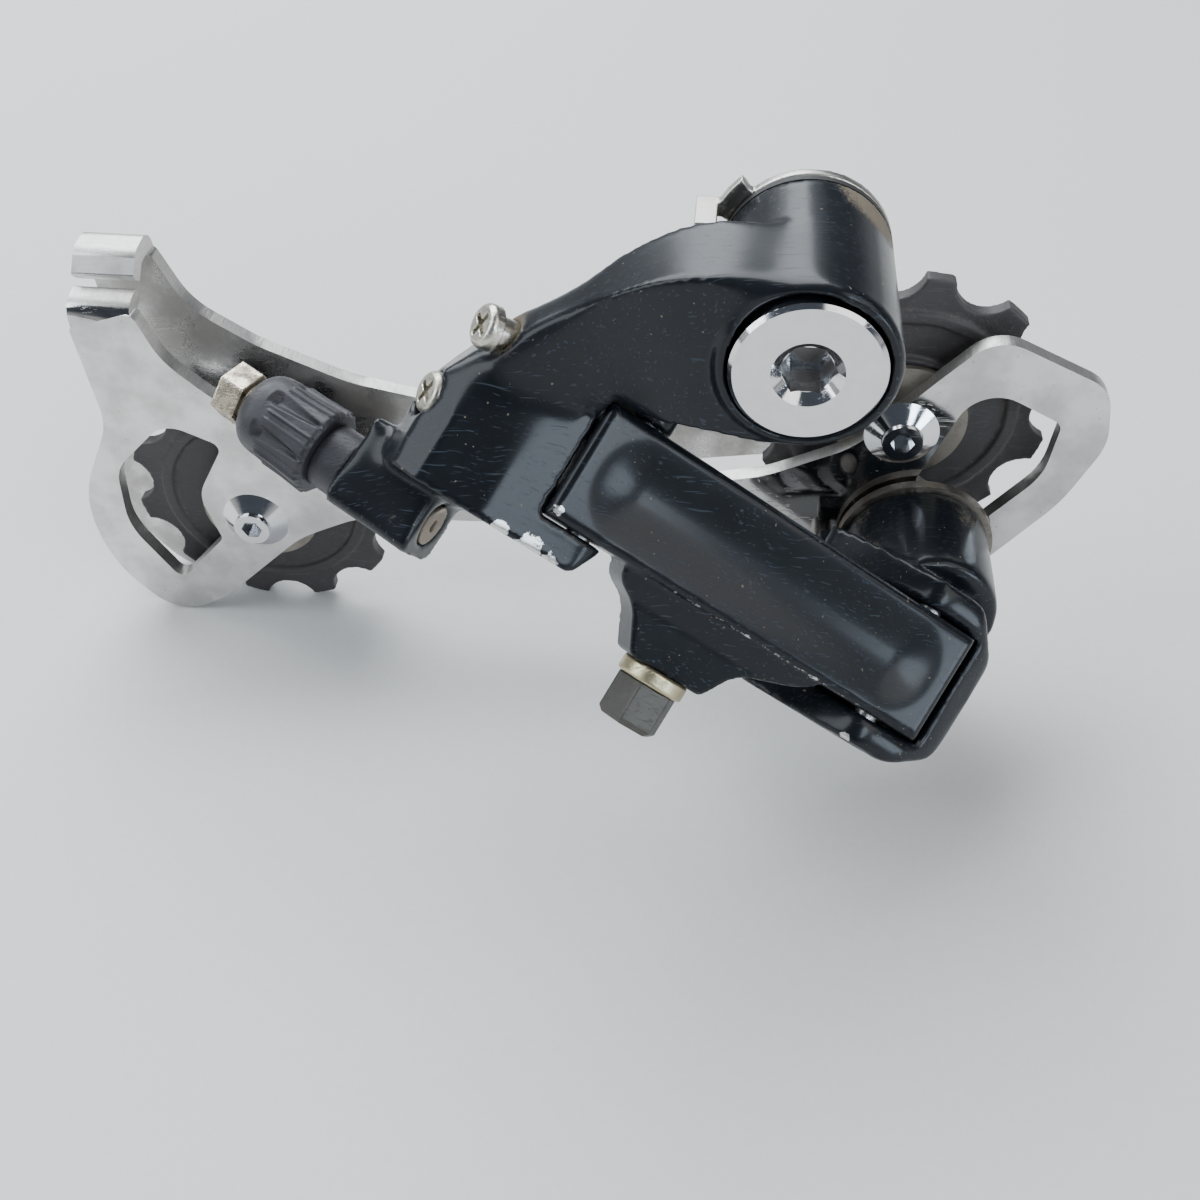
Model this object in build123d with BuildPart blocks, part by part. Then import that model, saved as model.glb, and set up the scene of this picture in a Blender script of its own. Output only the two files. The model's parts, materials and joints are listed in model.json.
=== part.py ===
"""Rear bicycle derailleur with a long cage, as separate pieces in one frame.

Millimetres. +X is forward on the bicycle, +Y is inboard, towards the wheel, +Z is up.
The origin is on the mounting bolt's axis, where the stop plate meets the frame's hanger.
Rest is the high-gear stop, with the cage sprung back to its stop pin.
"""

import os

from build123d import *

os.makedirs("parts", exist_ok=True)

# Mounting bolt and upper barrel, on the Y axis
HEAD_R = 9.2
HEAD_FRONT = -28.6
HEAD_BACK = -25.2
HEX_KEY = 6.0
SHAFT_R = 6.0
STUD_R = 5.0
STUD_END = 9.0
B_BARREL_R = 11.0
B_FRONT = -27.9
B_BACK = -2.8
B_CAVITY_R = 9.4
STOP_PLATE = 1.5
STOP_TAB_R = 13.2
RUN_FIT = 0.05

# Parallelogram: upper outer pin, link direction, pin axis and the two pin offsets
UPPER_PIN = Vector(-22.9, -22.6, -22.1)
LINK_DIR = Vector(0.831, -0.065, -0.553).normalized()
LINK_NORMAL = LINK_DIR.cross(Vector(0.459, 0.642, 0.614)).normalized()
PIN_AXIS = LINK_NORMAL.cross(LINK_DIR)
LINK_LENGTH = 49.0
INNER_S = -9.5
INNER_N = -13.06
PIN_R = 1.8
EAR_R = 3.6
EAR_OUT = 13.2
SLOT = 8.6

# Outer link
LINK_HALF = 8.25
LINK_FACE_N = 5.0
LINK_BACK_N = -4.0
LINK_END_R = 6.25
CLAMP_S = 19.6
CLAMP_N = -1.7
CLAMP_W = -18.2

# Inner link
INNER_HALF = 7.4
INNER_END_R = 4.0
SPRING_GAP = 3.4
SPRING_COIL_R = 3.1
OPEN_PIVOT_FIT = 0.15

# Lower knuckle and cage pivot, on an axis along Y
P_X = 22.0
P_Z = -50.0
P_BARREL_R = 11.0
P_FRONT = -15.5
P_CAVITY_R = 9.2
P_AXLE_R = 4.0
P_COVER_R = 11.8
LINK_SWING_R = 7.85

# Cage plates and pulleys
OUTER_FACE = 2.2
PLATE = 2.5
INNER_FACE = 13.1
PULLEY_Y = 8.9
GUIDE = (17.2, -30.2)
TENSION = (-83.7, -55.5)
TAB_REAR = -105.0
TAB_WIDTH = 9.4
TEETH = 11
TIP_R = 22.2
TOOTH_THICK = 2.4
WEB_RING_R = 17.0
HUB_THICK = 6.0
HUB_R = 8.0
BUSH_R = 4.0
BOLT_R = 2.5
GUIDE_TURN = 6.5
TENSION_TURN = -2.5

# Cable adjuster, on its own axis out of the boss
ADJUST_FROM = Vector(-51.7, -24.0, -26.6)
ADJUST_DIR = Vector(-0.843, 0.415, 0.27).normalized()
BOSS_HALF = 6.5
ADJUST_R = 2.95
NECK_R = 4.65
KNOB_R = 5.1
KNOB_FOOT_R = 6.3
KNOB_FROM = 12.0
KNOB_TO = 24.3
FERRULE_R = 3.0
HEX_END = 28.4

# Limit screws and the body tension screw
SCREW_R = 2.0
SCREW_HEAD_R = 2.9
LIMIT_DIR = Vector(-0.74, -0.35, 0.57).normalized()
LOW_SCREW = Vector(-45.4, -18.9, -13.0)
HIGH_SCREW = Vector(-37.4, -18.2, -3.2)
LIMIT_LENGTH = 10.0
TENSION_SCREW_X = -13.0
TENSION_SCREW_Y = -5.2
TENSION_SCREW_TIP = 4.3

LINK_FACE = Plane(origin=UPPER_PIN, x_dir=LINK_DIR, z_dir=LINK_NORMAL)
LINK_SIDE = Plane(origin=UPPER_PIN, x_dir=LINK_DIR, z_dir=-PIN_AXIS)
PINS = {
    "upper_outer_pin": (0.0, 0.0),
    "upper_inner_pin": (INNER_S, INNER_N),
    "lower_outer_pin": (LINK_LENGTH, 0.0),
    "lower_inner_pin": (LINK_LENGTH + INNER_S, INNER_N),
}


def save(piece, name):
    """Label a finished piece and write its file."""
    piece.part.label = name
    export_step(piece.part, f"parts/{name}.step")


def link_point(s, w, n):
    """A point given along the link, along the pins and out of the link's face."""
    return LINK_FACE.from_local_coords(Vector(s, w, n))


def on_axis(start, direction, x_dir=None):
    """A plane standing across an axis at a point on it."""
    return Plane(origin=start, x_dir=x_dir, z_dir=direction)


def rod_y(radius, y_from, y_to, at=(0.0, 0.0), mode=Mode.ADD):
    """A cylinder along Y in the open part, at an X and Z."""
    with Locations(Location((at[0], (y_from + y_to) / 2, at[1]), (90, 0, 0))):
        Cylinder(radius, y_to - y_from, mode=mode)


def rod_pin(radius, s, n, w_from, w_to, mode=Mode.ADD):
    """A cylinder along the link pins in the open part."""
    middle = link_point(s, (w_from + w_to) / 2, n)
    with Locations(on_axis(middle, PIN_AXIS, LINK_DIR)):
        Cylinder(radius, w_to - w_from, mode=mode)


def rod(radius, start, direction, t_from, t_to, mode=Mode.ADD):
    """A cylinder along any axis in the open part."""
    with Locations(on_axis(start + direction * ((t_from + t_to) / 2), direction)):
        Cylinder(radius, t_to - t_from, mode=mode)


def coil_spring(radius, wire, pitch, turns):
    """A coil spring that winds up from its own plane, to be placed by the piece that uses it."""
    with BuildPart() as spring:
        with BuildLine() as wire_path:
            Helix(pitch, pitch * turns, radius)
        with BuildSketch(Plane(wire_path.line @ 0, z_dir=wire_path.line % 0)):
            Circle(wire / 2)
        sweep()
    return spring.part


# ---------------------------------------------------------------- hanger mount

with BuildPart() as mounting_bolt:
    rod_y(HEAD_R, HEAD_FRONT, HEAD_BACK)
    chamfer(mounting_bolt.faces().sort_by(Axis.Y)[0].edges(), 0.5)
    rod_y(SHAFT_R, HEAD_BACK, 0)
    rod_y(STUD_R, 0, STUD_END)
    chamfer(mounting_bolt.faces().sort_by(Axis.Y)[-1].edges(), 0.8)
    with BuildSketch(Plane.XZ.offset(-HEAD_FRONT)):
        RegularPolygon(HEX_KEY / 2, 6, major_radius=False)
    extrude(amount=-6.5, mode=Mode.SUBTRACT)
    with Locations(Location((0, HEAD_FRONT + 0.6, 0), (90, 0, 0))):
        Cone(HEX_KEY / 2 + 0.1, 4.3, 1.2, mode=Mode.SUBTRACT)
    with Locations(Location((0, -2.1, 0), (90, 0, 0))):
        Cylinder(SHAFT_R + 1, 1.0, mode=Mode.SUBTRACT)
        Cylinder(5.2, 1.0)
save(mounting_bolt, "mounting_bolt")

with BuildPart() as b_snap_ring:
    rod_y(7.2, -2.5, -1.7)
    rod_y(5.25, -2.5, -1.7, mode=Mode.SUBTRACT)
    with Locations((0, -2.1, -6.2)):
        Box(4.2, 2, 3, mode=Mode.SUBTRACT)
save(b_snap_ring, "b_snap_ring")

# The stop plate's arm turns outboard into a lip that the body tension screw rests on
with BuildPart() as b_stop_plate:
    rod_y(B_BARREL_R, -STOP_PLATE, 0)
    with BuildSketch(Plane.XZ):
        with BuildLine():
            CenterArc((0, 0), STOP_TAB_R, 132, 26)
            PolarLine((0, 0), STOP_TAB_R, 132)
            PolarLine((0, 0), STOP_TAB_R, 158)
        make_face()
    extrude(amount=STOP_PLATE)
    with BuildSketch(Plane.XZ):
        with Locations((TENSION_SCREW_X, 5.6)):
            Rectangle(2.8, 2.0)
    extrude(amount=7.0)
    rod_y(SHAFT_R + RUN_FIT, -STOP_PLATE, 0, mode=Mode.SUBTRACT)
    rod_y(B_BARREL_R + 0.4, -8.5, -STOP_PLATE, mode=Mode.SUBTRACT)
save(b_stop_plate, "b_stop_plate")

# ---------------------------------------------------------------- upper knuckle

# Corners of the arm's sections along X, each as Y and Z: top front, top back, bottom back, bottom front
ARM_SECTIONS = {
    -1.0: [(-27.4, 10.6), (-12.0, 10.6), (-12.0, -10.6), (-27.4, -10.6)],
    -8.0: [(-27.0, 10.7), (-13.0, 10.7), (-12.0, -11.0), (-26.8, -10.8)],
    -14.8: [(-26.0, 10.0), (-13.6, 10.0), (-12.0, -11.0), (-25.6, -10.4)],
    -23.0: [(-23.2, 5.6), (-15.6, 6.4), (-10.5, -16.0), (-21.6, -14.5)],
    -30.0: [(-21.6, 0.9), (-15.4, 1.6), (-12.0, -18.5), (-21.8, -17.0)],
    -38.5: [(-20.6, -6.0), (-16.0, -3.4), (-14.0, -20.0), (-22.0, -19.0)],
}
with BuildPart() as clevis_block:
    with BuildSketch(LINK_SIDE):
        with Locations((0, 0), (INNER_S, INNER_N)):
            Circle(EAR_R)
        make_hull()
        Polygon(
            (0, EAR_R), (-13, 3.4), (-22, 1.6), (-25.4, -1.6), (-26.4, -7.0), (-24.0, -13.0),
            (-18, -17.0), (INNER_S, INNER_N - EAR_R), (-6.0, -12.0), align=None,
        )
    extrude(amount=EAR_OUT, both=True)
    with BuildSketch(LINK_FACE.offset(-20)):
        with BuildLine():
            FilletPolyline(
                (-27.6, -13.4), (0.6, -13.4), (3.8, -8.0), (3.8, 14.0), (-16.0, 18.0),
                (-21.4, 9.6), (-25.4, 1.0), (-27.8, -6.0), radius=2.2, close=True,
            )
        make_face()
    extrude(amount=30, mode=Mode.INTERSECT)

with BuildPart() as b_knuckle:
    rod_y(B_BARREL_R, B_FRONT, B_BACK)
    chamfer(b_knuckle.faces().sort_by(Axis.Y)[0].edges(), 0.7)
    for x, corners in ARM_SECTIONS.items():
        with BuildSketch(Plane.YZ.offset(x)):
            Polygon(*corners, align=None)
    loft()
    add(clevis_block.part)
    # Boss of the cable adjuster, below the arm's rear end
    with BuildSketch(on_axis(ADJUST_FROM - ADJUST_DIR * BOSS_HALF, ADJUST_DIR, PIN_AXIS)):
        with Locations((1.6, 0)):
            RectangleRounded(13.0, 11.6, 1.6)
    extrude(amount=2 * BOSS_HALF)
    # Lug of the body tension screw, behind the arm
    with Locations((TENSION_SCREW_X + 0.6, TENSION_SCREW_Y - 1.6, -2.4)):
        Box(7.0, 7.8, 6.2)
    # Room for the two links
    with BuildSketch(LINK_SIDE):
        Polygon(
            (-6.6, 40), (-6.6, -5), (-14.2, -8), (-14.2, -25), (62, -25), (62, 40), align=None
        )
    extrude(amount=SLOT, both=True, mode=Mode.SUBTRACT)
    # Bolt head recess, bearing bore and spring cavity
    rod_y(B_BARREL_R + 2, B_FRONT - 3, B_FRONT, mode=Mode.SUBTRACT)
    rod_y(HEAD_R + 0.4, B_FRONT - 3, HEAD_BACK + 0.3, mode=Mode.SUBTRACT)
    rod_y(SHAFT_R + RUN_FIT, B_FRONT, B_BACK, mode=Mode.SUBTRACT)
    rod_y(B_CAVITY_R, -22.5, B_BACK, mode=Mode.SUBTRACT)
    for s, n in (PINS["upper_outer_pin"], PINS["upper_inner_pin"]):
        rod_pin(PIN_R, s, n, -EAR_OUT - 0.2, EAR_OUT + 0.2, mode=Mode.SUBTRACT)
    rod(ADJUST_R + RUN_FIT, ADJUST_FROM, ADJUST_DIR, -20, 20, mode=Mode.SUBTRACT)
    rod(NECK_R, ADJUST_FROM, ADJUST_DIR, BOSS_HALF, KNOB_FROM, mode=Mode.SUBTRACT)
    rod(KNOB_FOOT_R + 0.5, ADJUST_FROM, ADJUST_DIR, KNOB_FROM - 0.3, HEX_END, mode=Mode.SUBTRACT)
    for head in (LOW_SCREW, HIGH_SCREW):
        rod(SCREW_R + RUN_FIT, head, LIMIT_DIR, -LIMIT_LENGTH - 1, 6, mode=Mode.SUBTRACT)
        rod(SCREW_HEAD_R + 0.4, head, LIMIT_DIR, 0, 8, mode=Mode.SUBTRACT)
    screw_foot = Vector(TENSION_SCREW_X, TENSION_SCREW_Y, -20)
    rod(SCREW_R + RUN_FIT, screw_foot, Vector(0, 0, 1), 0, 25, mode=Mode.SUBTRACT)
save(b_knuckle, "b_knuckle")

with BuildPart() as b_bushing:
    rod_y(B_CAVITY_R, -6.8, B_BACK - 0.2)
    rod_y(SHAFT_R + RUN_FIT, -6.8, B_BACK - 0.2, mode=Mode.SUBTRACT)
save(b_bushing, "b_bushing")

with BuildPart() as b_dust_seal:
    rod_y(B_BARREL_R, B_BACK, -1.8)
    rod_y(7.6, B_BACK, -1.8, mode=Mode.SUBTRACT)
save(b_dust_seal, "b_dust_seal")

b_coil = coil_spring(7.7, 1.8, 2.6, 5)
with BuildPart() as b_spring:
    add(Location((0, -21.2, 0), (-90, 0, 0)) * b_coil)
save(b_spring, "b_spring")

for name, (s, n) in PINS.items():
    with BuildPart() as link_pin:
        rod_pin(PIN_R, s, n, -EAR_OUT + 0.4, EAR_OUT - 0.4)
        chamfer(link_pin.edges().filter_by(GeomType.CIRCLE), 0.3)
    save(link_pin, name)

# ---------------------------------------------------------------- screws

with BuildPart() as pan_screw:
    Cylinder(SCREW_R, LIMIT_LENGTH, align=(Align.CENTER, Align.CENTER, Align.MAX))
    Cylinder(SCREW_HEAD_R, 2.0, align=(Align.CENTER, Align.CENTER, Align.MIN))
    fillet(pan_screw.faces().sort_by(Axis.Z)[-1].edges(), 0.9)
    with Locations((0, 0, 2.0)):
        Box(3.6, 0.8, 2.4, mode=Mode.SUBTRACT)
        Box(0.8, 3.6, 2.4, mode=Mode.SUBTRACT)

SCREWS = {
    "low_limit_screw": on_axis(LOW_SCREW, LIMIT_DIR).offset(0.3),
    "high_limit_screw": on_axis(HIGH_SCREW, LIMIT_DIR).offset(0.8),
    "b_tension_screw": on_axis(
        Vector(TENSION_SCREW_X, TENSION_SCREW_Y, TENSION_SCREW_TIP - LIMIT_LENGTH),
        Vector(0, 0, -1),
    ),
}
for name, seat in SCREWS.items():
    with BuildPart() as screw:
        add(seat.location * pan_screw.part)
    save(screw, name)

# ---------------------------------------------------------------- cable adjuster

with BuildPart() as adjuster_collar:
    rod(NECK_R, ADJUST_FROM, ADJUST_DIR, BOSS_HALF, KNOB_FROM - 0.3)
    chamfer(adjuster_collar.edges().filter_by(GeomType.CIRCLE), 0.5)
    rod(ADJUST_R + 0.3, ADJUST_FROM, ADJUST_DIR, 0, KNOB_FROM, mode=Mode.SUBTRACT)
save(adjuster_collar, "adjuster_collar")

with BuildPart() as adjuster_barrel:
    rod(ADJUST_R, ADJUST_FROM, ADJUST_DIR, -BOSS_HALF, KNOB_TO + 0.4)
    with BuildSketch(on_axis(ADJUST_FROM + ADJUST_DIR * (KNOB_TO + 0.3), ADJUST_DIR)):
        RegularPolygon(3.7, 6, major_radius=False)
    extrude(amount=HEX_END - KNOB_TO - 0.3)
    rod(FERRULE_R, ADJUST_FROM, ADJUST_DIR, KNOB_TO + 0.6, HEX_END + 1, mode=Mode.SUBTRACT)
    rod(0.9, ADJUST_FROM, ADJUST_DIR, -20, HEX_END, mode=Mode.SUBTRACT)
save(adjuster_barrel, "adjuster_barrel")

with BuildPart() as adjuster_knob:
    for t, radius in ((KNOB_FROM, KNOB_FOOT_R), (KNOB_TO, KNOB_R)):
        with BuildSketch(on_axis(ADJUST_FROM + ADJUST_DIR * t, ADJUST_DIR)):
            Circle(radius)
            with PolarLocations(radius + 0.5, 10):
                Circle(1.05, mode=Mode.SUBTRACT)
    loft()
    rod(ADJUST_R + RUN_FIT, ADJUST_FROM, ADJUST_DIR, 0, HEX_END, mode=Mode.SUBTRACT)
save(adjuster_knob, "adjuster_knob")

# ---------------------------------------------------------------- outer link

with BuildPart() as link_tab:
    with BuildSketch(Plane(origin=UPPER_PIN, x_dir=PIN_AXIS, z_dir=LINK_DIR)):
        Polygon(
            (-7, 4.4), (-9, 3.6), (-12, 2.4), (CLAMP_W, 2.0), (CLAMP_W, -5.4), (-12, -4.4),
            (-7, LINK_BACK_N), align=None,
        )
    extrude(amount=60)
    with BuildSketch(LINK_FACE.offset(-10)):
        with BuildLine():
            FilletPolyline(
                (6.4, -7), (6.8, -10.2), (10.8, -12.4), (14.0, CLAMP_W), (25.4, CLAMP_W),
                (28.4, -13.2), (36.0, -10.6), (41.4, -7), radius=[1.2, 3, 6, 1.2, 1.2, 5, 8, 1.2], close=True,
            )
        make_face()
    extrude(amount=20, mode=Mode.INTERSECT)

with BuildPart() as outer_link:
    with BuildSketch(LINK_SIDE):
        with Locations((0, 0), (LINK_LENGTH, 0)):
            Circle(LINK_END_R)
        make_hull()
        with Locations((LINK_LENGTH / 2, LINK_FACE_N / 2)):
            Rectangle(LINK_LENGTH + 2 * LINK_END_R, LINK_FACE_N)
        with Locations((LINK_LENGTH / 2, LINK_FACE_N + 5), (LINK_LENGTH / 2, LINK_BACK_N - 5)):
            Rectangle(LINK_LENGTH + 20, 10, mode=Mode.SUBTRACT)
    extrude(amount=LINK_HALF, both=True)
    fillet(outer_link.edges().filter_by(lambda e: LINK_FACE.to_local_coords(e.center()).Z > 4.9), 1.2)
    with BuildSketch(LINK_FACE.offset(LINK_BACK_N)):
        with Locations((LINK_LENGTH / 2, 0)):
            RectangleRounded(LINK_LENGTH - 14, 2 * LINK_HALF - 5, 2)
    extrude(amount=6.0, mode=Mode.SUBTRACT)
    add(link_tab.part)
    for s in (0, LINK_LENGTH):
        rod_pin(PIN_R + 0.8, s, 0, -20, 20, mode=Mode.SUBTRACT)
    rod_pin(BOLT_R + RUN_FIT, CLAMP_S, CLAMP_N, -20, -9, mode=Mode.SUBTRACT)
save(outer_link, "outer_link")

with BuildPart() as outer_link_bushes:
    for s in (0, LINK_LENGTH):
        for w in (-LINK_HALF, LINK_HALF - 3.2):
            rod_pin(PIN_R + 0.8, s, 0, w, w + 3.2)
        rod_pin(PIN_R + RUN_FIT, s, 0, -20, 20, mode=Mode.SUBTRACT)
save(outer_link_bushes, "outer_link_bushes")

with BuildPart() as clamp_washer:
    rod_pin(4.9, CLAMP_S, CLAMP_N, CLAMP_W - 2.3, CLAMP_W)
    chamfer(clamp_washer.edges().filter_by(GeomType.CIRCLE), 0.3)
    rod_pin(BOLT_R + RUN_FIT, CLAMP_S, CLAMP_N, -24, -9, mode=Mode.SUBTRACT)
save(clamp_washer, "cable_clamp_washer")

with BuildPart() as clamp_bolt:
    rod_pin(BOLT_R, CLAMP_S, CLAMP_N, CLAMP_W - 3, -9.6)
    with BuildSketch(on_axis(link_point(CLAMP_S, CLAMP_W - 2.35, CLAMP_N), -PIN_AXIS, LINK_DIR)):
        RegularPolygon(4.0, 6, major_radius=False)
    extrude(amount=6.2)
    chamfer(clamp_bolt.faces().sort_by(Axis(ADJUST_FROM, -PIN_AXIS))[-1].edges(), 0.7)
save(clamp_bolt, "cable_clamp_bolt")

# ---------------------------------------------------------------- inner link

with BuildPart() as inner_link:
    with BuildSketch(LINK_SIDE):
        with Locations((INNER_S, INNER_N), (LINK_LENGTH + INNER_S, INNER_N)):
            Circle(INNER_END_R)
        with Locations((LINK_LENGTH / 2 + INNER_S, INNER_N - 0.5)):
            Rectangle(LINK_LENGTH, 5.4)
    extrude(amount=INNER_HALF, both=True)
    with BuildSketch(LINK_FACE.offset(INNER_N - 8)):
        with Locations((LINK_LENGTH + INNER_S - 1, 0), (INNER_S + 1, 0)):
            Rectangle(16, 2 * SPRING_GAP)
        with Locations((LINK_LENGTH / 2 + INNER_S, 0)):
            RectangleRounded(18, 2 * INNER_HALF - 6, 2)
    extrude(amount=16, mode=Mode.SUBTRACT)
    rod_pin(PIN_R + RUN_FIT, INNER_S, INNER_N, -20, 20, mode=Mode.SUBTRACT)
    rod_pin(PIN_R + OPEN_PIVOT_FIT, LINK_LENGTH + INNER_S, INNER_N, -20, 20, mode=Mode.SUBTRACT)
save(inner_link, "inner_link")

link_coil = coil_spring(SPRING_COIL_R, 1.0, 1.3, 4)
coil_base = link_point(LINK_LENGTH + INNER_S, -2.6, INNER_N)
with BuildPart() as return_spring:
    add(on_axis(coil_base, PIN_AXIS, LINK_DIR).location * link_coil)
save(return_spring, "return_spring")

# ---------------------------------------------------------------- lower knuckle

with BuildPart() as lower_block:
    with BuildSketch(LINK_SIDE):
        with Locations((LINK_LENGTH, 0), (LINK_LENGTH + INNER_S, INNER_N)):
            Circle(EAR_R)
        make_hull()
        Polygon(
            (LINK_LENGTH, EAR_R), (56.0, 3.4), (61.0, 1.2), (64.0, -4.0), (62.6, -12.0), (55.0, -18.0),
            (LINK_LENGTH + INNER_S, INNER_N - EAR_R), (LINK_LENGTH - 3, -6), align=None,
        )
    extrude(amount=EAR_OUT, both=True)
    with BuildSketch(LINK_FACE.offset(-20)):
        with BuildLine():
            FilletPolyline(
                (34, -13.4), (53.0, -13.6), (61.0, -9.6), (64.0, -2.0), (61.6, 7.0), (54.0, 14.0),
                (34, 14.0), radius=3.0, close=True,
            )
        make_face()
    extrude(amount=30, mode=Mode.INTERSECT)

with BuildPart() as p_knuckle:
    rod_y(P_BARREL_R, P_FRONT, 0, (P_X, P_Z))
    add(lower_block.part)
    # Stop lug for the cage's stop pin, on the rear of the barrel
    with Locations(Location((P_X - 12.2, -1.9, P_Z + 1.4), (0, 0, 0))):
        Box(5.0, 3.0, 3.0)
    # Room for the two links over their whole swing
    with BuildSketch(LINK_SIDE):
        with Locations((LINK_LENGTH, 0)):
            Circle(LINK_SWING_R)
        with Locations((LINK_LENGTH + INNER_S, INNER_N)):
            Circle(INNER_END_R + 0.6)
        Polygon(
            (0, 30), (0, -18.0), (LINK_LENGTH + INNER_S, -18.0), (LINK_LENGTH + INNER_S, -4.4),
            (LINK_LENGTH, -4.4), (LINK_LENGTH + LINK_SWING_R, 0), (LINK_LENGTH + LINK_SWING_R, 30),
            align=None,
        )
    extrude(amount=SLOT, both=True, mode=Mode.SUBTRACT)
    rod_y(P_AXLE_R + RUN_FIT, P_FRONT - 1, 0, (P_X, P_Z), mode=Mode.SUBTRACT)
    rod_y(P_CAVITY_R, P_FRONT + 2.6, 0, (P_X, P_Z), mode=Mode.SUBTRACT)
    for s, n in (PINS["lower_outer_pin"], PINS["lower_inner_pin"]):
        rod_pin(PIN_R, s, n, -EAR_OUT - 0.2, EAR_OUT + 0.2, mode=Mode.SUBTRACT)
save(p_knuckle, "p_knuckle")

# Pressed cover over the lower barrel's inboard end, around the axle
with BuildPart() as p_dust_cover:
    rod_y(P_COVER_R, 0.1, 1.6, (P_X, P_Z))
    rod_y(P_AXLE_R + 0.4, 0, 2, (P_X, P_Z), mode=Mode.SUBTRACT)
save(p_dust_cover, "p_dust_cover")

with BuildPart() as p_bushing:
    rod_y(P_CAVITY_R, -3.6, -0.6, (P_X, P_Z))
    rod_y(P_AXLE_R + RUN_FIT, -3.6, -0.6, (P_X, P_Z), mode=Mode.SUBTRACT)
save(p_bushing, "p_bushing")

p_coil = coil_spring(6.6, 1.6, 1.85, 4)
with BuildPart() as p_spring:
    add(Location((P_X, -12.0, P_Z), (-90, 0, 0)) * p_coil)
save(p_spring, "p_spring")

# ---------------------------------------------------------------- cage

OUTER_OUTLINE = [
    (-105.4, -20.0), (-95.2, -17.2), (-92.6, -25.0), (-85.4, -32.1), (-70, -39.2), (-48, -43.0),
    (-20, -43.6), (-2, -39.8), (10.6, -33.4), (21.2, -20.4), (27.6, -13.0), (44.6, -20.6),
    (46.6, -30.0), (42.4, -41.4), (34.0, -53.4), (31.0, -61.0), (18.0, -63.6), (6.0, -57.6),
    (-42, -52.4), (-66, -53.4), (-76.8, -58.8), (-92.0, -73.6), (-101.8, -79.2), (-110.4, -68.4),
    (-112.8, -54.0), (-104.3, -37.6),
]
OUTER_RADII = [
    1.2, 1.4, 12, 18, 22, 24, 24, 20, 14, 8, 6, 6, 10, 24, 10, 9, 10, 14, 20, 18, 20, 14, 7, 20, 23, 12,
]
INNER_OUTLINE = [
    (-105.2, -15.0), (-95.4, -13.4), (-91.6, -22.6), (-82.0, -28.8), (-68, -34.8), (-50, -38.4),
    (-20, -38.6), (0, -34.6), (10, -22.6), (22, -20.0), (28.6, -30.0), (22, -41.0), (6, -42.6),
    (-20, -47.0), (-50, -46.4), (-67, -45.0), (-74.0, -55.0), (-90.0, -73.4), (-101.8, -79.2),
    (-110.4, -68.4), (-112.8, -54.0), (-104.3, -37.6),
]
INNER_RADII = [1.2, 1.2, 12, 18, 22, 24, 18, 8, 7, 7, 8, 7, 14, 18, 16, 6, 16, 14, 7, 20, 23, 12]
REAR_WINDOW = [
    (-95.0, -36.6), (-86.4, -40.6), (-92.4, -51.0), (-90.2, -60.2), (-99.4, -70.4), (-106.0, -58.6),
    (-105.0, -46.6),
]
REAR_RADII = [5, 1.6, 7, 1.4, 1.6, 12, 8]
FRONT_WINDOW = [
    (20.4, -39.0), (26.9, -20.8), (39.4, -27.0), (38.8, -36.4), (31.4, -46.4),
]
FRONT_RADII = [1.2, 5.5, 1.8, 10, 1.2]

with BuildPart() as outer_plate:
    with BuildSketch(Plane.XZ.offset(-OUTER_FACE)):
        with BuildLine():
            FilletPolyline(*OUTER_OUTLINE, radius=OUTER_RADII, close=True)
        make_face()
        with BuildLine():
            FilletPolyline(*REAR_WINDOW, radius=REAR_RADII, close=True)
        make_face(mode=Mode.SUBTRACT)
        with BuildLine():
            FilletPolyline(*FRONT_WINDOW, radius=FRONT_RADII, close=True)
        make_face(mode=Mode.SUBTRACT)
        with Locations(GUIDE, TENSION):
            Circle(BOLT_R + RUN_FIT, mode=Mode.SUBTRACT)
        with Locations((P_X, P_Z)):
            Circle(P_AXLE_R - 1, mode=Mode.SUBTRACT)
    extrude(amount=-PLATE)
    # Its tab leans inboard under the inner plate's tab
    with BuildSketch(Plane.YZ.offset(TAB_REAR)):
        with BuildLine():
            FilletPolyline(
                (2.2, -22.4), (2.2, -16.4), (6.8, -15.6), (7.2, -17.8), (4.7, -18.4), (4.7, -22.4),
                radius=[0.2, 3.0, 0.5, 0.5, 0.8, 0.2], close=True,
            )
        make_face()
    extrude(amount=TAB_WIDTH)
save(outer_plate, "outer_cage_plate")

with BuildPart() as inner_plate:
    with BuildSketch(Plane.XZ.offset(-INNER_FACE)):
        with BuildLine():
            FilletPolyline(*INNER_OUTLINE, radius=INNER_RADII, close=True)
        make_face()
        with BuildLine():
            FilletPolyline(*REAR_WINDOW, radius=REAR_RADII, close=True)
        make_face(mode=Mode.SUBTRACT)
        with Locations(GUIDE, TENSION):
            Circle(BOLT_R + RUN_FIT, mode=Mode.SUBTRACT)
    extrude(amount=-PLATE)
    # Chain-keeping tab, bent outboard over the outer plate's tab
    with BuildSketch(Plane.YZ.offset(TAB_REAR)):
        with BuildLine():
            FilletPolyline(
                (15.6, -18.0), (15.6, -10.6), (9.6, -11.2), (6.8, -14.0), (8.4, -15.6), (10.6, -13.7),
                (13.1, -13.4), (13.1, -18.0), radius=[0.2, 2.6, 3.0, 0.4, 0.4, 1.6, 0.8, 0.2], close=True,
            )
        make_face()
    extrude(amount=TAB_WIDTH)
save(inner_plate, "inner_cage_plate")

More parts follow.
